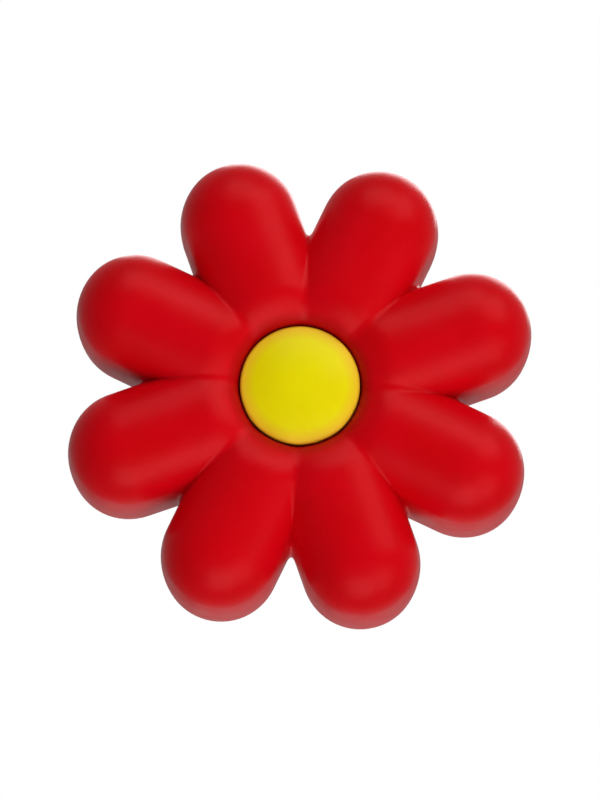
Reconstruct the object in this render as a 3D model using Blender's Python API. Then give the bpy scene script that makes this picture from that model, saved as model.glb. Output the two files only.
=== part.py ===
"""Flower-shaped string dampener for a racket, in three moulded silicone pieces.

The flower face sits on a spool-shaped string grip, and the centre button's stem passes
through both and holds them together with a barb at the back, like a soft rivet.

Metres, +Z up along the main strings. The face looks towards -Y, and the origin is the
centre of the groove that the strings lie in.
"""

import math

import bmesh
import bpy

MM = 0.001
JOINT_GAP = 0.3 * MM

# Flower outline, in the XZ plane
PETAL_COUNT = 8
PETAL_PITCH = 2 * math.pi / PETAL_COUNT
PETAL_TURN = math.radians(19.3)
PETAL_HALF_WIDTH = 3.8 * MM
PETAL_REACH = 11.55 * MM
BLEND_AT_HUB = 0.8 * MM
BLEND_AT_NOTCH = 0.12 * MM
BLEND_START = 5.0 * MM
BLEND_END = 9.8 * MM

# Flower depth, from its flat back
SIDE_DEPTH = 5.7 * MM
CROWN_HEIGHT = 3.1 * MM
CROWN_HALF_WIDTH = 3.67 * MM
CROWN_EDGE_LEVEL = 0.9877
FLARE_DEPTH = 2.3 * MM
BACK_ROUNDING = 1.2 * MM
SIDE_DRAFT = 0.1 * MM
SEAT_RADIUS = 4.1 * MM
SEAT_FLOOR = 5.2 * MM
LIP_ROUNDING = 0.15 * MM
DISH_CURVE_RADIUS = 2.5 * MM
DISH_EDGE_RADIUS = 6.4 * MM
SOCKET_DEPTH = 1.5 * MM
SOCKET_WALL = 0.5 * MM

# String grip, a spool with a collar in front of the strings and a flange behind them
GROOVE_WIDTH = 1.8 * MM
NECK_RADIUS = 5.8 * MM
COLLAR_RADIUS = 7.6 * MM
COLLAR_THICKNESS = 1.5 * MM
FLANGE_RADIUS = 8.5 * MM
FLANGE_THICKNESS = 2.2 * MM
FLANGE_ROUNDING = 0.9 * MM
GROOVE_EDGE_ROUNDING = 0.25 * MM
NECK_FILLET = 0.3 * MM
SMALL_ROUNDING = 0.15 * MM
BARB_POCKET_RADIUS = 3.0 * MM
BARB_POCKET_DEPTH = 1.9 * MM

# Centre button
BUTTON_RADIUS = 3.78 * MM
BUTTON_RIM = 2.05 * MM
BUTTON_DOME = 0.85 * MM
BUTTON_ROUNDING = 0.3 * MM
STEM_RADIUS = 1.5 * MM
BARB_RADIUS = 2.4 * MM
BARB_TIP_RADIUS = 1.1 * MM
BARB_LENGTH = 1.4 * MM

# The crown is an ellipse that stops short of upright. The wall below it flares to its widest.
CROWN_END = SIDE_DEPTH + CROWN_HEIGHT * math.sqrt(1.0 - CROWN_EDGE_LEVEL**2)
FLARE_INSET = PETAL_HALF_WIDTH - CROWN_HALF_WIDTH * CROWN_EDGE_LEVEL

BORE_RADIUS = STEM_RADIUS + JOINT_GAP
SOCKET_RADIUS = COLLAR_RADIUS + JOINT_GAP

# Facets
COLUMNS_PER_PETAL = 12
CROWN_ROWS = 13
FLARE_STEPS = 3
BACK_ROUNDING_STEPS = 4
OUTLINE_SAMPLES = 600
HALVING_STEPS = 50
GRIP_SEGMENTS = 56
BUTTON_SEGMENTS = 40
CORNER_STEPS = 3
DOME_STEPS = 6
SHARP_ANGLE = math.radians(35.0)
WELD_DISTANCE = 0.001 * MM

# Where each piece's own datum lies along Y
FACE_BACK_Y = -(GROOVE_WIDTH / 2 + COLLAR_THICKNESS + JOINT_GAP - SOCKET_DEPTH)
BUTTON_SEAT_Y = FACE_BACK_Y - SEAT_FLOOR - JOINT_GAP
FLANGE_BACK_Y = GROOVE_WIDTH / 2 + FLANGE_THICKNESS

RED_SILICONE = (0.610, 0.002, 0.006, 1.0)
YELLOW_SILICONE = (0.790, 0.670, 0.004, 1.0)


def clear_scene():
    for item in list(bpy.data.objects):
        bpy.data.objects.remove(item, do_unlink=True)


def silicone(name, colour, roughness):
    """A moulded silicone: one colour, matt, not metallic."""
    material = bpy.data.materials.new(name)
    material.use_nodes = True
    shader = material.node_tree.nodes["Principled BSDF"]
    shader.inputs["Base Color"].default_value = colour
    shader.inputs["Roughness"].default_value = roughness
    shader.inputs["Metallic"].default_value = 0.0
    material.diffuse_color = colour
    return material


def add_piece(name, bm, material, parent, place_y):
    """Turn a finished bmesh into a named object on the dampener's axis."""
    bmesh.ops.recalc_face_normals(bm, faces=bm.faces)
    mesh = bpy.data.meshes.new(name)
    bm.to_mesh(mesh)
    bm.free()
    mesh.shade_smooth()
    mesh.set_sharp_from_angle(angle=SHARP_ANGLE)
    mesh.materials.append(material)
    piece = bpy.data.objects.new(name, mesh)
    bpy.context.collection.objects.link(piece)
    piece.parent = parent
    piece.location = (0.0, place_y, 0.0)
    return piece


def rounded(corners, steps):
    """Replace each (radius, y, rounding) corner that has a rounding with points on its arc."""
    points = []
    count = len(corners)
    for i, (radius, y, rounding) in enumerate(corners):
        if rounding == 0.0:
            points.append((radius, y))
            continue
        before = corners[i - 1]
        after = corners[(i + 1) % count]
        points.extend(corner_arc((radius, y), before[:2], after[:2], rounding, steps))
    return points


def corner_arc(corner, before, after, rounding, steps):
    """Points on the arc that rounds one corner, from the side before it to the side after it."""
    to_before = unit(before[0] - corner[0], before[1] - corner[1])
    to_after = unit(after[0] - corner[0], after[1] - corner[1])
    half_angle = math.acos(to_before[0] * to_after[0] + to_before[1] * to_after[1]) / 2
    middle = unit(to_before[0] + to_after[0], to_before[1] + to_after[1])
    reach = rounding / math.sin(half_angle)
    centre = (corner[0] + middle[0] * reach, corner[1] + middle[1] * reach)
    back = rounding / math.tan(half_angle)
    start = (corner[0] + to_before[0] * back, corner[1] + to_before[1] * back)
    end = (corner[0] + to_after[0] * back, corner[1] + to_after[1] * back)
    first = math.atan2(start[1] - centre[1], start[0] - centre[0])
    last = math.atan2(end[1] - centre[1], end[0] - centre[0])
    sweep = (last - first + math.pi) % (2 * math.pi) - math.pi
    turns = [first + sweep * step / steps for step in range(steps + 1)]
    return [(centre[0] + rounding * math.cos(a), centre[1] + rounding * math.sin(a)) for a in turns]


def unit(x, y):
    length = math.hypot(x, y)
    return (x / length, y / length)


def turned(profile, segments, closed):
    """Spin a profile of (radius, y) points once about the Y axis."""
    bm = bmesh.new()
    verts = [bm.verts.new((radius, y, 0.0)) for radius, y in profile]
    edges = [bm.edges.new(pair) for pair in zip(verts, verts[1:])]
    if closed:
        edges.append(bm.edges.new((verts[-1], verts[0])))
    bmesh.ops.spin(
        bm,
        geom=verts + edges,
        cent=(0.0, 0.0, 0.0),
        axis=(0.0, 1.0, 0.0),
        angle=2 * math.pi,
        steps=segments,
        use_merge=True,
    )
    bmesh.ops.remove_doubles(bm, verts=bm.verts, dist=WELD_DISTANCE)
    return bm


def axis_distance(radius, turn):
    """Distance from a point to a petal's axis line, turn being its angle from that axis."""
    past_end = max(radius * math.cos(turn) - PETAL_REACH, 0.0)
    return math.hypot(past_end, radius * math.sin(turn))


def petal_distance(radius, turn):
    """Distance to the nearer of two petal axes, blended in the valley between them."""
    near = axis_distance(radius, turn)
    far = axis_distance(radius, PETAL_PITCH - turn)
    part = min(max((radius - BLEND_START) / (BLEND_END - BLEND_START), 0.0), 1.0)
    blend = BLEND_AT_HUB + (BLEND_AT_NOTCH - BLEND_AT_HUB) * part
    overlap = max(blend - abs(near - far), 0.0) / blend
    return min(near, far) - overlap * overlap * blend / 4


def outline_radius(turn, inset=0.0):
    """Radius of the flower's outline at an angle, moved inwards by the inset, found by halving."""
    low = PETAL_REACH / 2
    high = PETAL_REACH + PETAL_HALF_WIDTH
    for _ in range(HALVING_STEPS):
        middle = (low + high) / 2
        if petal_distance(middle, turn) < PETAL_HALF_WIDTH - inset:
            low = middle
        else:
            high = middle
    return low


def column_turns():
    """Angles across one petal pitch, evenly spaced along the outline."""
    turns = [PETAL_PITCH * i / OUTLINE_SAMPLES for i in range(OUTLINE_SAMPLES + 1)]
    radii = [outline_radius(turn) for turn in turns]
    lengths = [0.0]
    for i in range(OUTLINE_SAMPLES):
        across = radii[i] * (turns[i + 1] - turns[i])
        lengths.append(lengths[-1] + math.hypot(across, radii[i + 1] - radii[i]))
    picked = []
    sample = 0
    for column in range(COLUMNS_PER_PETAL):
        target = lengths[-1] * column / COLUMNS_PER_PETAL
        while lengths[sample + 1] < target:
            sample += 1
        share = (target - lengths[sample]) / (lengths[sample + 1] - lengths[sample])
        picked.append(turns[sample] + share * (turns[sample + 1] - turns[sample]))
    return picked


def crown_y(radius, turn):
    """Height of the front surface: round petals that dip towards the button's seat."""
    level = min(petal_distance(radius, turn) / CROWN_HALF_WIDTH, 1.0)
    crown = CROWN_HEIGHT * math.sqrt(1.0 - level * level)
    inside = max(DISH_EDGE_RADIUS - radius, 0.0)
    dip = inside * inside / (2 * DISH_CURVE_RADIUS)
    return -(SIDE_DEPTH + crown - dip)


def face_column(turn):
    """One closed section of the flower face, from its bore over the front and round the back."""
    edge = outline_radius(turn, FLARE_INSET)
    lip_radius = SEAT_RADIUS + LIP_ROUNDING
    lip_y = crown_y(lip_radius, turn)
    column = [
        (BORE_RADIUS, -SOCKET_DEPTH),
        (BORE_RADIUS, -SEAT_FLOOR),
        (SEAT_RADIUS, -SEAT_FLOOR),
        (SEAT_RADIUS, lip_y + 2 * LIP_ROUNDING),
    ]
    for row in range(CROWN_ROWS):
        left = 1.0 - row / CROWN_ROWS
        radius = lip_radius + (edge - lip_radius) * (1.0 - left * left)
        column.append((radius, crown_y(radius, turn)))
    column.append((edge, -CROWN_END))
    for step in range(1, FLARE_STEPS + 1):
        left = 1.0 - step / FLARE_STEPS
        radius = outline_radius(turn, FLARE_INSET * left * left)
        column.append((radius, -CROWN_END + FLARE_DEPTH * (1.0 - left)))
    wall_end = outline_radius(turn, SIDE_DRAFT)
    flat_edge = max(outline_radius(turn, SIDE_DRAFT + BACK_ROUNDING), SOCKET_RADIUS + SOCKET_WALL)
    for step in range(BACK_ROUNDING_STEPS + 1):
        angle = math.pi / 2 * step / BACK_ROUNDING_STEPS
        radius = flat_edge + (wall_end - flat_edge) * math.cos(angle)
        column.append((radius, -BACK_ROUNDING * (1.0 - math.sin(angle))))
    column.append((SOCKET_RADIUS, 0.0))
    column.append((SOCKET_RADIUS, -SOCKET_DEPTH))
    return column


def make_flower_face(material, parent):
    """Eight round petals in one moulding, with a seat in front and a socket in the back."""
    bm = bmesh.new()
    turns = column_turns()
    sections = [face_column(turn) for turn in turns]
    loops = []
    for petal in range(PETAL_COUNT):
        for turn, section in zip(turns, sections):
            angle = PETAL_TURN + petal * PETAL_PITCH + turn
            loops.append([bm.verts.new((r * math.cos(angle), y, r * math.sin(angle))) for r, y in section])
    for this, following in zip(loops, loops[1:] + loops[:1]):
        for i in range(len(this)):
            bm.faces.new((this[i - 1], this[i], following[i], following[i - 1]))
    return add_piece("flower_face", bm, material, parent, FACE_BACK_Y)


def make_string_grip(material, parent):
    """Turned spool: collar, grooved neck, back flange, and a bore with a pocket for the barb."""
    front = -(GROOVE_WIDTH / 2 + COLLAR_THICKNESS)
    groove = GROOVE_WIDTH / 2
    pocket_floor = FLANGE_BACK_Y - BARB_POCKET_DEPTH
    corners = [
        (BORE_RADIUS, front, 0.0),
        (COLLAR_RADIUS, front, SMALL_ROUNDING),
        (COLLAR_RADIUS, -groove, GROOVE_EDGE_ROUNDING),
        (NECK_RADIUS, -groove, NECK_FILLET),
        (NECK_RADIUS, groove, NECK_FILLET),
        (FLANGE_RADIUS, groove, GROOVE_EDGE_ROUNDING),
        (FLANGE_RADIUS, FLANGE_BACK_Y, FLANGE_ROUNDING),
        (BARB_POCKET_RADIUS, FLANGE_BACK_Y, SMALL_ROUNDING),
        (BARB_POCKET_RADIUS, pocket_floor, 0.0),
        (BORE_RADIUS, pocket_floor, 0.0),
    ]
    bm = turned(rounded(corners, CORNER_STEPS), GRIP_SEGMENTS, closed=True)
    return add_piece("string_grip", bm, material, parent, 0.0)


def make_centre_button(material, parent):
    """Domed head, stem, and a tapered barb that sits in the pocket behind the strings."""
    barb_y = FLANGE_BACK_Y - BARB_POCKET_DEPTH + JOINT_GAP - BUTTON_SEAT_Y
    corners = [
        (BUTTON_RADIUS, -BUTTON_RIM, BUTTON_ROUNDING),
        (BUTTON_RADIUS, 0.0, SMALL_ROUNDING),
        (STEM_RADIUS, 0.0, 0.0),
        (STEM_RADIUS, barb_y, 0.0),
        (BARB_RADIUS, barb_y, SMALL_ROUNDING),
        (BARB_TIP_RADIUS, barb_y + BARB_LENGTH, SMALL_ROUNDING),
        (0.0, barb_y + BARB_LENGTH, 0.0),
        (0.0, -BUTTON_RIM - BUTTON_DOME, 0.0),
    ]
    side = rounded(corners, CORNER_STEPS)
    start_radius, start_y = side[0]
    dome_height = start_y + BUTTON_RIM + BUTTON_DOME
    dome = []
    for step in range(DOME_STEPS):
        share = step / DOME_STEPS
        y = -BUTTON_RIM - BUTTON_DOME + dome_height * share * share
        dome.append((start_radius * share, y))
    bm = turned(dome + side[:-1], BUTTON_SEGMENTS, closed=False)
    return add_piece("centre_button", bm, material, parent, BUTTON_SEAT_Y)


def main():
    clear_scene()
    dampener = bpy.data.objects.new("dampener_axis", None)
    bpy.context.collection.objects.link(dampener)
    make_flower_face(silicone("face_silicone", RED_SILICONE, 0.48), dampener)
    make_string_grip(silicone("grip_silicone", RED_SILICONE, 0.5), dampener)
    make_centre_button(silicone("button_silicone", YELLOW_SILICONE, 0.45), dampener)


main()
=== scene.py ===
"""Looks of the flower string dampener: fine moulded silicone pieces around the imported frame."""

import math

import bmesh
import bpy
import numpy as np
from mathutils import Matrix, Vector


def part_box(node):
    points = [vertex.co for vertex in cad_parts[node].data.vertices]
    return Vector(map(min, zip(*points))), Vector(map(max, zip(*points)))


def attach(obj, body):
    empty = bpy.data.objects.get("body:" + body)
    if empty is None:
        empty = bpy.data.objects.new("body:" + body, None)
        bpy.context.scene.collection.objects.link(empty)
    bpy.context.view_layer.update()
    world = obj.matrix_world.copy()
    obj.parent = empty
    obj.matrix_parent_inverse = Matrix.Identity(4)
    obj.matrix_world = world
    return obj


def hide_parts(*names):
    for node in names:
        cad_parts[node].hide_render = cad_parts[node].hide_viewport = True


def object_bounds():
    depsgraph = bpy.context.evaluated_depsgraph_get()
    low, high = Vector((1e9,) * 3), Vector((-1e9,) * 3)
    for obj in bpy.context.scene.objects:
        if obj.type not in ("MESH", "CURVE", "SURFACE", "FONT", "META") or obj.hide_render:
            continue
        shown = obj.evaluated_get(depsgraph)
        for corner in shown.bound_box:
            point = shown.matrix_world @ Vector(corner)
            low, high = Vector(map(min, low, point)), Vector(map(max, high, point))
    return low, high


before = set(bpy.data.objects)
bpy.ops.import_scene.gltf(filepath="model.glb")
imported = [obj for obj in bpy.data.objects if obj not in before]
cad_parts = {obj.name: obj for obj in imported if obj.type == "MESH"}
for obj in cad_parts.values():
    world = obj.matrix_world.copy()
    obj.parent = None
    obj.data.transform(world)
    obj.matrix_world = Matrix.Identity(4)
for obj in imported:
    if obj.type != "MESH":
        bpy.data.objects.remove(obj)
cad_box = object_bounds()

MM = 0.001

# Flower outline, in the XZ plane
PETAL_COUNT = 8
PETAL_PITCH = 2 * math.pi / PETAL_COUNT
PETAL_TURN = math.radians(19.3)
PETAL_HALF_WIDTH = 3.8 * MM
PETAL_REACH = 11.55 * MM
BLEND_AT_HUB = 0.8 * MM
BLEND_IN_VALLEY = 0.03 * MM
BLEND_AT_NOTCH = 0.5 * MM
BLEND_START = 5.0 * MM
VALLEY_START = 9.3 * MM
VALLEY_END = 9.5 * MM
NOTCH_START = 10.0 * MM

# Flower depth
CROWN_HEIGHT = 3.1 * MM
CROWN_HALF_WIDTH = 3.67 * MM
CROWN_EDGE_LEVEL = 0.9877
FLARE_DEPTH = 2.3 * MM
BACK_ROUNDING = 1.2 * MM
SIDE_DRAFT = 0.1 * MM
SEAT_RADIUS = 3.85 * MM
SEAT_DEPTH = 5.2 * MM
SEAT_CORNER = 0.25 * MM
MOUTH_RADIUS = 3.9 * MM
MOUTH_DEPTH = 0.5 * MM
LIP_WIDTH = 0.35 * MM
LIP_DEPTH = 0.3 * MM
DISH_CURVE_RADIUS = 2.5 * MM
DISH_EDGE_RADIUS = 6.4 * MM
BORE_RADIUS = 1.8 * MM
SOCKET_RADIUS = 7.9 * MM
SOCKET_DEPTH = 1.5 * MM
SOCKET_WALL = 0.5 * MM
SOCKET_EDGE = 0.12 * MM

# String grip
COLLAR_RADIUS = 7.6 * MM
COLLAR_ROUNDING = 0.15 * MM
GROOVE_HALF_WIDTH = 0.9 * MM
GROOVE_EDGE_ROUNDING = 0.25 * MM
NECK_RADIUS = 5.8 * MM
NECK_FILLET = 0.3 * MM
FLANGE_ROUNDING = 0.9 * MM
BARB_POCKET_RADIUS = 3.0 * MM
BARB_POCKET_DEPTH = 1.9 * MM
BARB_POCKET_EDGE = 0.15 * MM

# Centre button
BUTTON_HEAD_DEPTH = 2.9 * MM
BUTTON_DOME = 0.85 * MM
BUTTON_ROUNDING = 0.3 * MM
STEM_RADIUS = 1.5 * MM
STEM_FILLET = 0.1 * MM
SMALL_ROUNDING = 0.15 * MM
BARB_RADIUS = 2.4 * MM
BARB_TIP_RADIUS = 1.1 * MM
BARB_LENGTH = 1.4 * MM

# Mould seam, a fine raised line where the mould's halves met
SEAM_HEIGHT = 0.03 * MM
SEAM_WIDTH = 0.05 * MM
SEAM_INSET = 0.12 * MM
SEAM_WIDTHS_SHAPED = 2.0
SEAM_WIDTHS_TO_FLAT = 3.0
SEAM_LEAST_RADIUS = 5.5 * MM

# Mesh density
COLUMNS_PER_PETAL = 60
NOTCH_CROWDING = 3.0
NOTCH_CROWDING_ANGLE = math.radians(2.5)
OUTLINE_SAMPLES = 4000
HALVING_STEPS = 50
SEAT_ROWS = 7
SEAT_CORNER_ROWS = 5
MOUTH_ROWS = 6
CROWN_ROWS = 96
FLARE_ROWS = 9
SIDE_ROWS = 5
BACK_ROUNDING_ROWS = 12
SEAM_ROWS = 9
FLAT_ROWS = 5
SOCKET_ROWS = 4
SOCKET_FLOOR_ROWS = 11
TURNED_COLUMNS = 224
SEAM_CROWDING = 10.0
SEAM_CROWDING_ANGLE = math.radians(2.0)
CORNER_STEPS = 8
DOME_ROWS = 40
SHARP_ANGLE = math.radians(40.0)
WELD_DISTANCE = 0.0001 * MM

# Silicone. A painted ring of light or shade has a colour, and the distances from the axis where it
# starts and is full.
# A pattern has a size, and the part of its values that is used.
RED = (0.70, 0.0004, 0.006, 1.0)
RED_DEEP = (0.67, 0.0003, 0.004, 1.0)
RED_TINT = (1.0, 0.35, 0.35, 1.0)
FACE_ROUGHNESS = 0.34
GRIP_ROUGHNESS = 0.36
YELLOW = (0.93, 0.80, 0.001, 1.0)
YELLOW_DEEP = (0.90, 0.76, 0.001, 1.0)
YELLOW_TINT = (1.0, 0.9, 0.4, 1.0)
BUTTON_ROUGHNESS = 0.3
# Painted red bounce light: the button's edge turns orange, in place of light thrown onto it by the
# red walls round it.
PAINTED_RED_BOUNCE_RIM = ((1.0, 0.56, 0.03, 1.0), 2.9 * MM, 3.85 * MM)
# Painted shade: the face darkens towards the button's seat, in place of the shadow in the recess
# round the button.
PAINTED_SHADE_MOUTH = ((0.42, 0.0003, 0.002, 1.0), 4.7 * MM, 3.95 * MM)
GLOSS_LEVEL = 0.3
SILICONE_IOR = 1.41
SUBSURFACE_WEIGHT = 0.12
SUBSURFACE_RADIUS = (1.0, 0.35, 0.25)
SUBSURFACE_SCALE = 0.5 * MM
CLOUD_SIZE = 3.0 * MM
CLOUD_RANGE = (0.35, 0.6)
PATCH_SIZE = 1.2 * MM
PATCH_RANGE = (0.3, 0.7)
PATCH_CHANGE = 0.04
GRAIN_SIZE = 0.16 * MM
GRAIN_DEPTH = 0.01 * MM
WAVE_SIZE = 2.5 * MM
WAVE_DEPTH = 0.02 * MM

# Studio. A front light has its turn round the flower's axis, from +X, and its power. A back
# light has its turn, its angle from straight in front, its size and its power.
CAMERA_DISTANCE = 0.5
CAMERA_RISE = math.radians(-10.5)
CAMERA_CLIP = (0.01, 20.0)
FRAME_WIDTH = 38.2 * MM
FRAME_ASPECT = 3 / 4
SENSOR = 36.0
FLOOR_Z = -1.5
FLOOR_HALF = 8.0
FLOOR_PAINT = (0.9, 0.9, 0.9, 1.0)
FLOOR_ROUGHNESS = 0.7
FLOOR_SEEN = (0.86, 0.86, 0.86, 1.0)
WHITE = (1.0, 1.0, 1.0, 1.0)
WORLD_FRONT = 0.16
WORLD_BACK = 0.38
WORLD_CHANGE = (-0.5, 0.6)
FRONT_LIGHTS = {
    "up_right": (45.0, 0.70),
    "up": (90.0, 0.59),
    "down": (270.0, 0.80),
    "down_right": (315.0, 0.50),
}
FRONT_LIGHT_OFF_AXIS = 55.0
FRONT_LIGHT_DISTANCE = 0.45
FRONT_LIGHT_SIZE = 0.3
BACK_LIGHTS = {
    "under": (285.0, 140.0, 0.6, 0.3),
    "behind": (70.0, 145.0, 0.4, 1.6),
}
BACK_LIGHT_DISTANCE = 0.6

# Places read from the frame
FACE_LOW, FACE_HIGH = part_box("flower_face")
GRIP_LOW, GRIP_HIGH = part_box("string_grip")
BUTTON_LOW, BUTTON_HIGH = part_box("centre_button")
CROWN_BASE_Y = FACE_LOW.y + CROWN_HEIGHT
CROWN_END_Y = CROWN_BASE_Y - CROWN_HEIGHT * math.sqrt(1.0 - CROWN_EDGE_LEVEL**2)
FLARE_INSET = PETAL_HALF_WIDTH - CROWN_HALF_WIDTH * CROWN_EDGE_LEVEL


# ---------------------------------------------------------------- mesh building

def loft(name, sections, closed):
    """A closed body from sections, an array (column, row, xyz), joined round the axis.

    A closed section is a loop, as on a piece with a bore. An open one runs from pole to pole.
    """
    columns, rows, _ = sections.shape
    column = np.arange(columns)[:, None]
    row = np.arange(rows if closed else rows - 1)[None, :]
    here = column * rows
    beside = (column + 1) % columns * rows
    after = (row + 1) % rows
    quads = np.stack([here + row, here + after, beside + after, beside + row], axis=-1)
    mesh = bpy.data.meshes.new(name)
    mesh.from_pydata(sections.reshape(-1, 3).tolist(), [], quads.reshape(-1, 4).tolist())
    bm = bmesh.new()
    bm.from_mesh(mesh)
    bmesh.ops.remove_doubles(bm, verts=bm.verts, dist=WELD_DISTANCE)
    bmesh.ops.recalc_face_normals(bm, faces=bm.faces)
    bm.to_mesh(mesh)
    bm.free()
    mesh.shade_smooth()
    mesh.set_sharp_from_angle(angle=SHARP_ANGLE)
    return mesh


def around(radius, y, angles):
    """Sections (column, row, xyz) from radius and y arrays (column, row), turned to each angle."""
    angles = angles[:, None]
    return np.stack([radius * np.cos(angles), y, radius * np.sin(angles)], axis=-1)


def add_piece(name, node, material, mesh):
    """The finished mesh as the piece that stands for a CAD node."""
    mesh.materials.append(material)
    piece = bpy.data.objects.new(name, mesh)
    bpy.context.scene.collection.objects.link(piece)
    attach(piece, "root")
    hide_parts(node)
    return piece


def crowded(start, stop, count, places, strength, width):
    """count values from start up to stop, closer together near each of the places."""
    fine = np.linspace(start, stop, OUTLINE_SAMPLES + 1)
    density = np.ones_like(fine)
    for place in places:
        density += strength * np.exp(-(((fine - place) / width) ** 2))
    total = np.concatenate([[0.0], np.cumsum((density[1:] + density[:-1]) / 2)])
    return np.interp(np.arange(count) / count * total[-1], total, fine)


# ---------------------------------------------------------------- flower face

def axis_distance(radius, turn):
    """Distance from points to a petal's axis line, turn being their angle from that axis."""
    past_end = np.maximum(radius * np.cos(turn) - PETAL_REACH, 0.0)
    return np.hypot(past_end, radius * np.sin(turn))


def petal_distance(radius, turn):
    """Distance to the nearer of two petal axes, blended in the valley between them."""
    near = axis_distance(radius, turn)
    far = axis_distance(radius, PETAL_PITCH - turn)
    places = [BLEND_START, VALLEY_START, VALLEY_END, NOTCH_START]
    blends = [BLEND_AT_HUB, BLEND_IN_VALLEY, BLEND_IN_VALLEY, BLEND_AT_NOTCH]
    blend = np.interp(radius, places, blends)
    overlap = np.maximum(blend - np.abs(near - far), 0.0) / blend
    return np.minimum(near, far) - overlap * overlap * blend / 4


def outline_radius(turn, inset=0.0):
    """Radius of the flower's outline at each angle, moved inwards by the inset, by halving."""
    low = np.full_like(turn, PETAL_REACH / 2)
    high = np.full_like(turn, PETAL_REACH + PETAL_HALF_WIDTH)
    for _ in range(HALVING_STEPS):
        middle = (low + high) / 2
        inside = petal_distance(middle, turn) < PETAL_HALF_WIDTH - inset
        low = np.where(inside, middle, low)
        high = np.where(inside, high, middle)
    return low


def petal_turns():
    """Angles across one petal pitch, evenly spaced along the outline and closer in the notch."""
    turns = np.linspace(0.0, PETAL_PITCH, OUTLINE_SAMPLES + 1)
    radii = outline_radius(turns)
    step = np.hypot(np.diff(radii), radii[1:] * np.diff(turns))
    middle = (turns[1:] + turns[:-1]) / 2
    notch = (middle - PETAL_PITCH / 2) / NOTCH_CROWDING_ANGLE
    step *= 1.0 + NOTCH_CROWDING * np.exp(-(notch**2))
    total = np.concatenate([[0.0], np.cumsum(step)])
    return np.interp(np.arange(COLUMNS_PER_PETAL) / COLUMNS_PER_PETAL * total[-1], total, turns)


def crown_y(radius, turn):
    """Where the front surface lies: round petals that dip towards the button's seat."""
    level = np.minimum(petal_distance(radius, turn) / CROWN_HALF_WIDTH, 1.0)
    crown = CROWN_HEIGHT * np.sqrt(1.0 - level * level)
    inside = np.maximum(DISH_EDGE_RADIUS - radius, 0.0)
    dip = inside * inside / (2 * DISH_CURVE_RADIUS)
    return CROWN_BASE_Y - crown + dip


def seat_rows():
    """Bore, seat floor and seat wall, from the socket in the back to just under the lip."""
    socket_y = FACE_HIGH.y - SOCKET_DEPTH
    floor_y = FACE_HIGH.y - SEAT_DEPTH
    floor_end = SEAT_RADIUS - SEAT_CORNER
    rows = [(BORE_RADIUS, y) for y in np.linspace(socket_y, floor_y, SEAT_ROWS + 1)]
    rows += [(r, floor_y) for r in np.linspace(BORE_RADIUS, floor_end, SEAT_ROWS + 1)[1:]]
    for angle in np.linspace(0.0, math.pi / 2, SEAT_CORNER_ROWS + 1)[1:]:
        radius = SEAT_RADIUS - SEAT_CORNER * (1.0 - math.sin(angle))
        rows.append((radius, floor_y - SEAT_CORNER * (1.0 - math.cos(angle))))
    return rows


def lip_rows(turn):
    """The seat wall, the mouth that widens round the button, and the soft edge of the dish."""
    wall_y = FACE_HIGH.y - SEAT_DEPTH - SEAT_CORNER
    corner_y = crown_y(MOUTH_RADIUS, turn)
    end_y = crown_y(MOUTH_RADIUS + LIP_WIDTH, turn)
    mouth_y = corner_y + MOUTH_DEPTH
    start_y = corner_y + LIP_DEPTH
    rows = []
    for s in np.linspace(0.0, 1.0, SEAT_ROWS + 1)[1:]:
        rows.append((SEAT_RADIUS, wall_y + (mouth_y - wall_y) * s))
    for s in np.linspace(0.0, 1.0, MOUTH_ROWS + 1)[1:]:
        radius = SEAT_RADIUS + (MOUTH_RADIUS - SEAT_RADIUS) * s
        rows.append((radius, mouth_y + (start_y - mouth_y) * s))
    for s in np.linspace(0.0, 1.0, CORNER_STEPS + 1)[1:-1]:
        radius = MOUTH_RADIUS + LIP_WIDTH * s * s
        y = (1 - s) ** 2 * start_y + 2 * s * (1 - s) * corner_y + s * s * end_y
        rows.append((radius, y))
    return rows


def crown_rows(turn):
    """The whole front, from the lip to the steep edge, where the rows crowd."""
    edge = outline_radius(turn, FLARE_INSET)
    start = MOUTH_RADIUS + LIP_WIDTH
    rows = []
    for row in range(CROWN_ROWS):
        left = 1.0 - row / CROWN_ROWS
        radius = start + (edge - start) * (1.0 - left * left)
        rows.append((radius, crown_y(radius, turn)))
    rows.append((edge, CROWN_END_Y))
    return rows


def side_rows(turn):
    """The side wall, widest in the middle, down to where the back edge starts to round."""
    widest_y = CROWN_END_Y + FLARE_DEPTH
    end_y = FACE_HIGH.y - BACK_ROUNDING
    rows = []
    for share in np.linspace(0.0, 1.0, FLARE_ROWS + 1)[1:]:
        inset = FLARE_INSET * (1.0 - share) ** 2
        rows.append((outline_radius(turn, inset), CROWN_END_Y + FLARE_DEPTH * share))
    for share in np.linspace(0.0, 1.0, SIDE_ROWS + 1)[1:]:
        inset = SIDE_DRAFT * share**2
        rows.append((outline_radius(turn, inset), widest_y + (end_y - widest_y) * share))
    return rows


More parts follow.
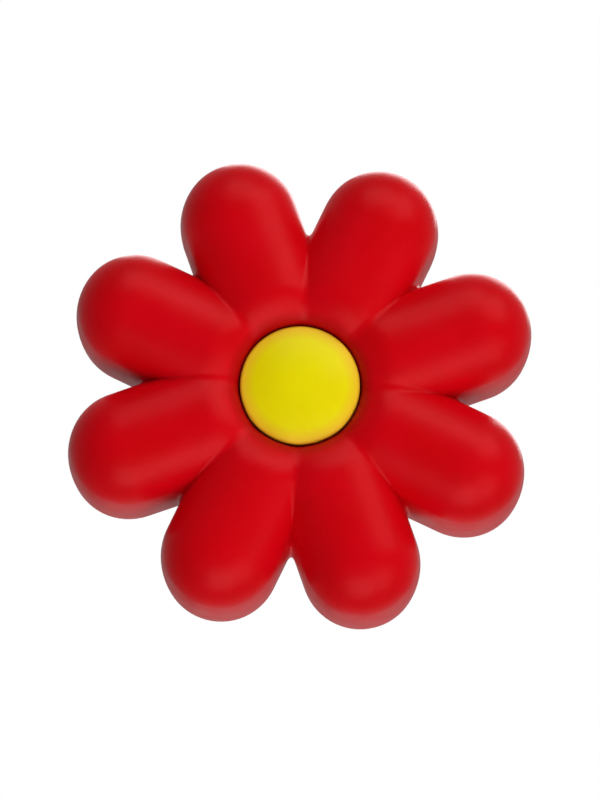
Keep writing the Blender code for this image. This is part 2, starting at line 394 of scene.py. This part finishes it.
def back_rows(turn):
    """The rounded back edge and the flat back, with the mould seam just inside its edge."""
    end_y = FACE_HIGH.y - BACK_ROUNDING
    wall_end = outline_radius(turn, SIDE_DRAFT)
    flat_edge = outline_radius(turn, SIDE_DRAFT + BACK_ROUNDING)
    flat_edge = np.maximum(flat_edge, SOCKET_RADIUS + SOCKET_WALL)
    rows = []
    for angle in np.linspace(0.0, math.pi / 2, BACK_ROUNDING_ROWS + 1)[1:]:
        radius = flat_edge + (wall_end - flat_edge) * math.cos(angle)
        rows.append((radius, end_y + BACK_ROUNDING * math.sin(angle)))
    for widths in np.linspace(-SEAM_WIDTHS_SHAPED, SEAM_WIDTHS_SHAPED, SEAM_ROWS):
        radius = flat_edge - SEAM_INSET - SEAM_WIDTH * widths
        rows.append((radius, FACE_HIGH.y + SEAM_HEIGHT * math.exp(-(widths**2))))
    seam_end = flat_edge - SEAM_INSET - SEAM_WIDTHS_TO_FLAT * SEAM_WIDTH
    flat_end = SOCKET_RADIUS + SOCKET_EDGE
    for share in np.linspace(0.0, 1.0, FLAT_ROWS + 1):
        rows.append((seam_end + (flat_end - seam_end) * share, FACE_HIGH.y))
    return rows


def socket_rows():
    """The collar's socket: rounded edge, wall and floor, as far as the bore."""
    wall_y = FACE_HIGH.y - SOCKET_EDGE
    floor_y = FACE_HIGH.y - SOCKET_DEPTH
    rows = []
    for angle in np.linspace(0.0, math.pi / 2, SOCKET_ROWS + 1)[1:]:
        radius = SOCKET_RADIUS + SOCKET_EDGE - SOCKET_EDGE * math.sin(angle)
        rows.append((radius, FACE_HIGH.y - SOCKET_EDGE * (1.0 - math.cos(angle))))
    rows += [(SOCKET_RADIUS, y) for y in np.linspace(wall_y, floor_y, SOCKET_ROWS + 1)[1:]]
    floor_radii = np.linspace(SOCKET_RADIUS, BORE_RADIUS, SOCKET_FLOOR_ROWS + 1)[1:-1]
    rows += [(radius, floor_y) for radius in floor_radii]
    return rows


def flower_face(material):
    """Eight round petals in one moulding, with a fine mould seam round the flat back."""
    turn = petal_turns()
    front = seat_rows() + lip_rows(turn) + crown_rows(turn)
    rows = front + side_rows(turn) + back_rows(turn) + socket_rows()
    radius = np.stack([np.broadcast_to(r, turn.shape) for r, _ in rows], axis=1)
    y = np.stack([np.broadcast_to(v, turn.shape) for _, v in rows], axis=1)
    angles = PETAL_TURN + turn
    petals = [around(radius, y, angles + k * PETAL_PITCH) for k in range(PETAL_COUNT)]
    mesh = loft("flower_face_skin", np.concatenate(petals), closed=True)
    return add_piece("flower_face_skin", "flower_face", material, mesh)


# ---------------------------------------------------------------- turned pieces

def unit(x, y):
    length = math.hypot(x, y)
    return (x / length, y / length)


def corner_arc(corner, before, after, rounding):
    """Points on the arc that rounds one corner, from the side before it to the side after it."""
    to_before = unit(before[0] - corner[0], before[1] - corner[1])
    to_after = unit(after[0] - corner[0], after[1] - corner[1])
    half_angle = math.acos(to_before[0] * to_after[0] + to_before[1] * to_after[1]) / 2
    middle = unit(to_before[0] + to_after[0], to_before[1] + to_after[1])
    reach = rounding / math.sin(half_angle)
    centre = (corner[0] + middle[0] * reach, corner[1] + middle[1] * reach)
    back = rounding / math.tan(half_angle)
    start = (corner[0] + to_before[0] * back, corner[1] + to_before[1] * back)
    end = (corner[0] + to_after[0] * back, corner[1] + to_after[1] * back)
    first = math.atan2(start[1] - centre[1], start[0] - centre[0])
    last = math.atan2(end[1] - centre[1], end[0] - centre[0])
    sweep = (last - first + math.pi) % (2 * math.pi) - math.pi
    turns = first + sweep * np.linspace(0.0, 1.0, CORNER_STEPS + 1)
    return [(centre[0] + rounding * math.cos(a), centre[1] + rounding * math.sin(a)) for a in turns]


def rounded(corners):
    """A profile of (radius, y) points from corners, each with its own rounding or none."""
    points = []
    for i, (radius, y, rounding) in enumerate(corners):
        if rounding == 0.0:
            points.append((radius, y))
            continue
        before = corners[i - 1]
        after = corners[(i + 1) % len(corners)]
        points.extend(corner_arc((radius, y), before[:2], after[:2], rounding))
    return points


def turned(name, profile, closed, seam_radius):
    """Turn a profile of (radius, y) points about the Y axis, with a mould seam down two sides.

    The seam is on the parts of the profile that are beyond seam_radius.
    """
    seams = [math.pi / 2, 3 * math.pi / 2]
    angles = crowded(0.0, 2 * math.pi, TURNED_COLUMNS, seams, SEAM_CROWDING, SEAM_CROWDING_ANGLE)
    points = np.array(profile)
    radius = np.broadcast_to(points[:, 0], (TURNED_COLUMNS, len(points))).copy()
    y = np.broadcast_to(points[:, 1], radius.shape)
    for seam in seams:
        across = radius * np.sin(angles - seam)[:, None] / SEAM_WIDTH
        near = np.cos(angles - seam)[:, None] > 0.0
        ridge = SEAM_HEIGHT * np.exp(-(across**2))
        radius += np.where(near & (radius > seam_radius), ridge, 0.0)
    return loft(name, around(radius, y, angles), closed)


def string_grip(material):
    """Collar, neck and flange in one turned form, with a seam where its mould opened sideways."""
    pocket_y = GRIP_HIGH.y - BARB_POCKET_DEPTH
    edge = GRIP_HIGH.x - SEAM_HEIGHT
    corners = [
        (BORE_RADIUS, GRIP_LOW.y, 0.0),
        (COLLAR_RADIUS, GRIP_LOW.y, COLLAR_ROUNDING),
        (COLLAR_RADIUS, -GROOVE_HALF_WIDTH, GROOVE_EDGE_ROUNDING),
        (NECK_RADIUS, -GROOVE_HALF_WIDTH, NECK_FILLET),
        (NECK_RADIUS, GROOVE_HALF_WIDTH, NECK_FILLET),
        (edge, GROOVE_HALF_WIDTH, GROOVE_EDGE_ROUNDING),
        (edge, GRIP_HIGH.y, FLANGE_ROUNDING),
        (BARB_POCKET_RADIUS, GRIP_HIGH.y, BARB_POCKET_EDGE),
        (BARB_POCKET_RADIUS, pocket_y, BARB_POCKET_EDGE),
        (BORE_RADIUS, pocket_y, 0.0),
    ]
    profile = rounded(corners)
    mesh = turned("string_grip_skin", profile, closed=True, seam_radius=SEAM_LEAST_RADIUS)
    return add_piece("string_grip_skin", "string_grip", material, mesh)


def centre_button(material):
    """Domed head, stem and tapered barb, with no seam: its mould opened along the axis."""
    radius = BUTTON_HIGH.x
    rim_y = BUTTON_LOW.y + BUTTON_DOME
    under_y = BUTTON_LOW.y + BUTTON_HEAD_DEPTH
    barb_y = BUTTON_HIGH.y - BARB_LENGTH
    corners = [
        (0.0, BUTTON_LOW.y, 0.0),
        (radius, rim_y, BUTTON_ROUNDING),
        (radius, under_y, SMALL_ROUNDING),
        (STEM_RADIUS, under_y, STEM_FILLET),
        (STEM_RADIUS, barb_y, STEM_FILLET),
        (BARB_RADIUS, barb_y, SMALL_ROUNDING),
        (BARB_TIP_RADIUS, BUTTON_HIGH.y, SMALL_ROUNDING),
        (0.0, BUTTON_HIGH.y, 0.0),
    ]
    side = rounded(corners)[1:]
    start_radius, start_y = side[0]
    share = np.linspace(0.0, 1.0, DOME_ROWS + 1)[:-1]
    dome = [(start_radius * s, BUTTON_LOW.y + (start_y - BUTTON_LOW.y) * s * s) for s in share]
    mesh = turned("centre_button_skin", dome + side, closed=False, seam_radius=math.inf)
    return add_piece("centre_button_skin", "centre_button", material, mesh)


# ---------------------------------------------------------------- materials

def silicone(name, colour, deep_colour, roughness, tint, painted_ring=None):
    """Moulded silicone: faintly uneven colour, a fine spark-eroded mould texture, soft gloss.

    A painted ring is (colour, start, end), painted light or shade: the colour comes in between the
    two distances from the axis.
    """
    material = bpy.data.materials.new(name)
    material.use_nodes = True
    nodes = material.node_tree.nodes
    links = material.node_tree.links
    shader = nodes["Principled BSDF"]
    shader.inputs["IOR"].default_value = SILICONE_IOR
    shader.inputs["Specular IOR Level"].default_value = GLOSS_LEVEL
    shader.inputs["Specular Tint"].default_value = tint
    shader.inputs["Subsurface Weight"].default_value = SUBSURFACE_WEIGHT
    shader.inputs["Subsurface Radius"].default_value = SUBSURFACE_RADIUS
    shader.inputs["Subsurface Scale"].default_value = SUBSURFACE_SCALE

    place = nodes.new("ShaderNodeTexCoord")
    clouds = noise(nodes, links, place, CLOUD_SIZE, detail=3.0)
    mix = nodes.new("ShaderNodeMix")
    mix.data_type = "RGBA"
    mix.inputs["A"].default_value = deep_colour
    mix.inputs["B"].default_value = colour
    links.new(spread(nodes, links, clouds, CLOUD_RANGE, (0.0, 1.0)), mix.inputs["Factor"])
    result = mix.outputs["Result"]
    # Paints light or shade into the base colour: painted shade on the face, painted red bounce
    # light on the button.
    if painted_ring is not None:
        result = with_painted_ring(nodes, links, place, result, *painted_ring)
    links.new(result, shader.inputs["Base Color"])

    patches = noise(nodes, links, place, PATCH_SIZE, detail=2.0)
    roughnesses = (roughness - PATCH_CHANGE, roughness + PATCH_CHANGE)
    links.new(spread(nodes, links, patches, PATCH_RANGE, roughnesses), shader.inputs["Roughness"])

    grain = noise(nodes, links, place, GRAIN_SIZE, detail=2.0)
    waves = noise(nodes, links, place, WAVE_SIZE, detail=1.0)
    fine_relief = bump(nodes, links, grain, GRAIN_DEPTH)
    relief = bump(nodes, links, waves, WAVE_DEPTH, under=fine_relief)
    links.new(relief, shader.inputs["Normal"])
    return material


def noise(nodes, links, place, size, detail):
    """A noise pattern whose features are about the given size."""
    pattern = nodes.new("ShaderNodeTexNoise")
    pattern.inputs["Scale"].default_value = 1.0 / size
    pattern.inputs["Detail"].default_value = detail
    links.new(place.outputs["Object"], pattern.inputs["Vector"])
    return pattern.outputs["Fac"]


def with_painted_ring(nodes, links, place, colour, painted_colour, start, end):
    """The colour up to start, turning into the painted light or shade of painted_colour at end,
    both distances from the axis.
    """
    across = nodes.new("ShaderNodeVectorMath")
    across.operation = "MULTIPLY"
    across.inputs[1].default_value = (1.0, 0.0, 1.0)
    links.new(place.outputs["Object"], across.inputs[0])
    distance = nodes.new("ShaderNodeVectorMath")
    distance.operation = "LENGTH"
    links.new(across.outputs["Vector"], distance.inputs[0])
    mix = nodes.new("ShaderNodeMix")
    mix.data_type = "RGBA"
    mix.inputs["B"].default_value = painted_colour
    links.new(colour, mix.inputs["A"])
    share = spread(nodes, links, distance.outputs["Value"], (start, end), (0.0, 1.0))
    links.new(share, mix.inputs["Factor"])
    return mix.outputs["Result"]


def spread(nodes, links, value, before, after):
    """The value's range from before[0] to before[1], stretched to run from after[0] to after[1]."""
    stretch = nodes.new("ShaderNodeMapRange")
    stretch.inputs["From Min"].default_value = before[0]
    stretch.inputs["From Max"].default_value = before[1]
    stretch.inputs["To Min"].default_value = after[0]
    stretch.inputs["To Max"].default_value = after[1]
    links.new(value, stretch.inputs["Value"])
    return stretch.outputs["Result"]


def bump(nodes, links, height, distance, under=None):
    """Surface relief of the given depth, laid over the relief under it."""
    relief = nodes.new("ShaderNodeBump")
    relief.inputs["Strength"].default_value = 1.0
    relief.inputs["Distance"].default_value = distance
    links.new(height, relief.inputs["Height"])
    if under is not None:
        links.new(under, relief.inputs["Normal"])
    return relief.outputs["Normal"]


# ---------------------------------------------------------------- studio

def floor_material():
    """Pale paint. The camera sees it evenly lit, and what it throws up follows the lights."""
    material = bpy.data.materials.new("floor_paint")
    material.use_nodes = True
    nodes = material.node_tree.nodes
    links = material.node_tree.links
    paint = nodes["Principled BSDF"]
    paint.inputs["Base Color"].default_value = FLOOR_PAINT
    paint.inputs["Roughness"].default_value = FLOOR_ROUGHNESS
    seen = nodes.new("ShaderNodeEmission")
    seen.inputs["Color"].default_value = FLOOR_SEEN
    path = nodes.new("ShaderNodeLightPath")
    pick = nodes.new("ShaderNodeMixShader")
    links.new(path.outputs["Is Camera Ray"], pick.inputs["Fac"])
    links.new(paint.outputs["BSDF"], pick.inputs[1])
    links.new(seen.outputs["Emission"], pick.inputs[2])
    links.new(pick.outputs["Shader"], nodes["Material Output"].inputs["Surface"])
    return material


def add_floor():
    """A plain pale floor well below the dampener, which hangs in a racket's strings."""
    mesh = bpy.data.meshes.new("floor")
    signs = [(-1, -1), (1, -1), (1, 1), (-1, 1)]
    corners = [(x * FLOOR_HALF, y * FLOOR_HALF, FLOOR_Z) for x, y in signs]
    mesh.from_pydata(corners, [], [(0, 1, 2, 3)])
    mesh.materials.append(floor_material())
    floor = bpy.data.objects.new("floor", mesh)
    bpy.context.scene.collection.objects.link(floor)


def add_camera(centre):
    """Long lens from a little below the flower, as a racket is seen from its handle side.

    The sensor's width lies along the picture's long side, which is the upright one.
    """
    camera = bpy.data.cameras.new("camera")
    camera.sensor_width = SENSOR
    camera.lens = SENSOR * FRAME_ASPECT * CAMERA_DISTANCE / FRAME_WIDTH
    camera.clip_start, camera.clip_end = CAMERA_CLIP
    item = bpy.data.objects.new("camera", camera)
    away = Vector((0.0, -math.cos(CAMERA_RISE), math.sin(CAMERA_RISE)))
    item.location = centre + away * CAMERA_DISTANCE
    item.rotation_euler = (-away).to_track_quat("-Z", "Y").to_euler()
    bpy.context.scene.collection.objects.link(item)
    bpy.context.scene.camera = item


def add_softbox(name, centre, turn, off_axis, distance, size, power):
    """A square soft light, off_axis from the flower's own axis, at turn round it from +X."""
    light = bpy.data.lights.new(name, "AREA")
    light.shape = "SQUARE"
    light.size = size
    light.energy = power
    item = bpy.data.objects.new(name, light)
    turn = math.radians(turn)
    off_axis = math.radians(off_axis)
    side = math.sin(off_axis)
    away = Vector((side * math.cos(turn), -math.cos(off_axis), side * math.sin(turn)))
    item.location = centre + away * distance
    item.rotation_euler = (-away).to_track_quat("-Z", "Y").to_euler()
    item.visible_camera = False
    bpy.context.scene.collection.objects.link(item)


def add_world():
    """White behind everything, and light that is dimmer from the front than from the back.

    WORLD_CHANGE is the stretch of a direction's Y over which the one turns into the other.
    """
    world = bpy.data.worlds.new("studio")
    bpy.context.scene.world = world
    world.use_nodes = True
    nodes = world.node_tree.nodes
    links = world.node_tree.links
    place = nodes.new("ShaderNodeTexCoord")
    axes = nodes.new("ShaderNodeSeparateXYZ")
    links.new(place.outputs["Generated"], axes.inputs["Vector"])
    level = nodes.new("ShaderNodeMapRange")
    level.interpolation_type = "SMOOTHSTEP"
    level.inputs["From Min"].default_value = WORLD_CHANGE[0]
    level.inputs["From Max"].default_value = WORLD_CHANGE[1]
    level.inputs["To Min"].default_value = WORLD_FRONT
    level.inputs["To Max"].default_value = WORLD_BACK
    links.new(axes.outputs["Y"], level.inputs["Value"])
    lighting = nodes["Background"]
    links.new(level.outputs["Result"], lighting.inputs["Strength"])
    lighting.inputs["Color"].default_value = WHITE
    seen = nodes.new("ShaderNodeBackground")
    seen.inputs["Color"].default_value = WHITE
    path = nodes.new("ShaderNodeLightPath")
    pick = nodes.new("ShaderNodeMixShader")
    links.new(path.outputs["Is Camera Ray"], pick.inputs["Fac"])
    links.new(lighting.outputs["Background"], pick.inputs[1])
    links.new(seen.outputs["Background"], pick.inputs[2])
    links.new(pick.outputs["Shader"], nodes["World Output"].inputs["Surface"])


def add_studio():
    """Floor, camera, world, four soft lights round the front and two behind the flower."""
    centre = (Vector(cad_box[0]) + Vector(cad_box[1])) / 2
    add_floor()
    add_camera(centre)
    add_world()
    place = (FRONT_LIGHT_OFF_AXIS, FRONT_LIGHT_DISTANCE, FRONT_LIGHT_SIZE)
    for name, (turn, power) in FRONT_LIGHTS.items():
        add_softbox(name, centre, turn, *place, power)
    for name, (turn, off_axis, size, power) in BACK_LIGHTS.items():
        add_softbox(name, centre, turn, off_axis, BACK_LIGHT_DISTANCE, size, power)
    bpy.context.scene.view_settings.view_transform = "Standard"


# ---------------------------------------------------------------- build

flower_face(silicone("red_face", RED, RED_DEEP, FACE_ROUGHNESS, RED_TINT, PAINTED_SHADE_MOUTH))
string_grip(silicone("red_grip", RED, RED_DEEP, GRIP_ROUGHNESS, RED_TINT))
yellow = silicone("yellow_button", YELLOW, YELLOW_DEEP, BUTTON_ROUGHNESS, YELLOW_TINT, PAINTED_RED_BOUNCE_RIM)
centre_button(yellow)
add_studio()
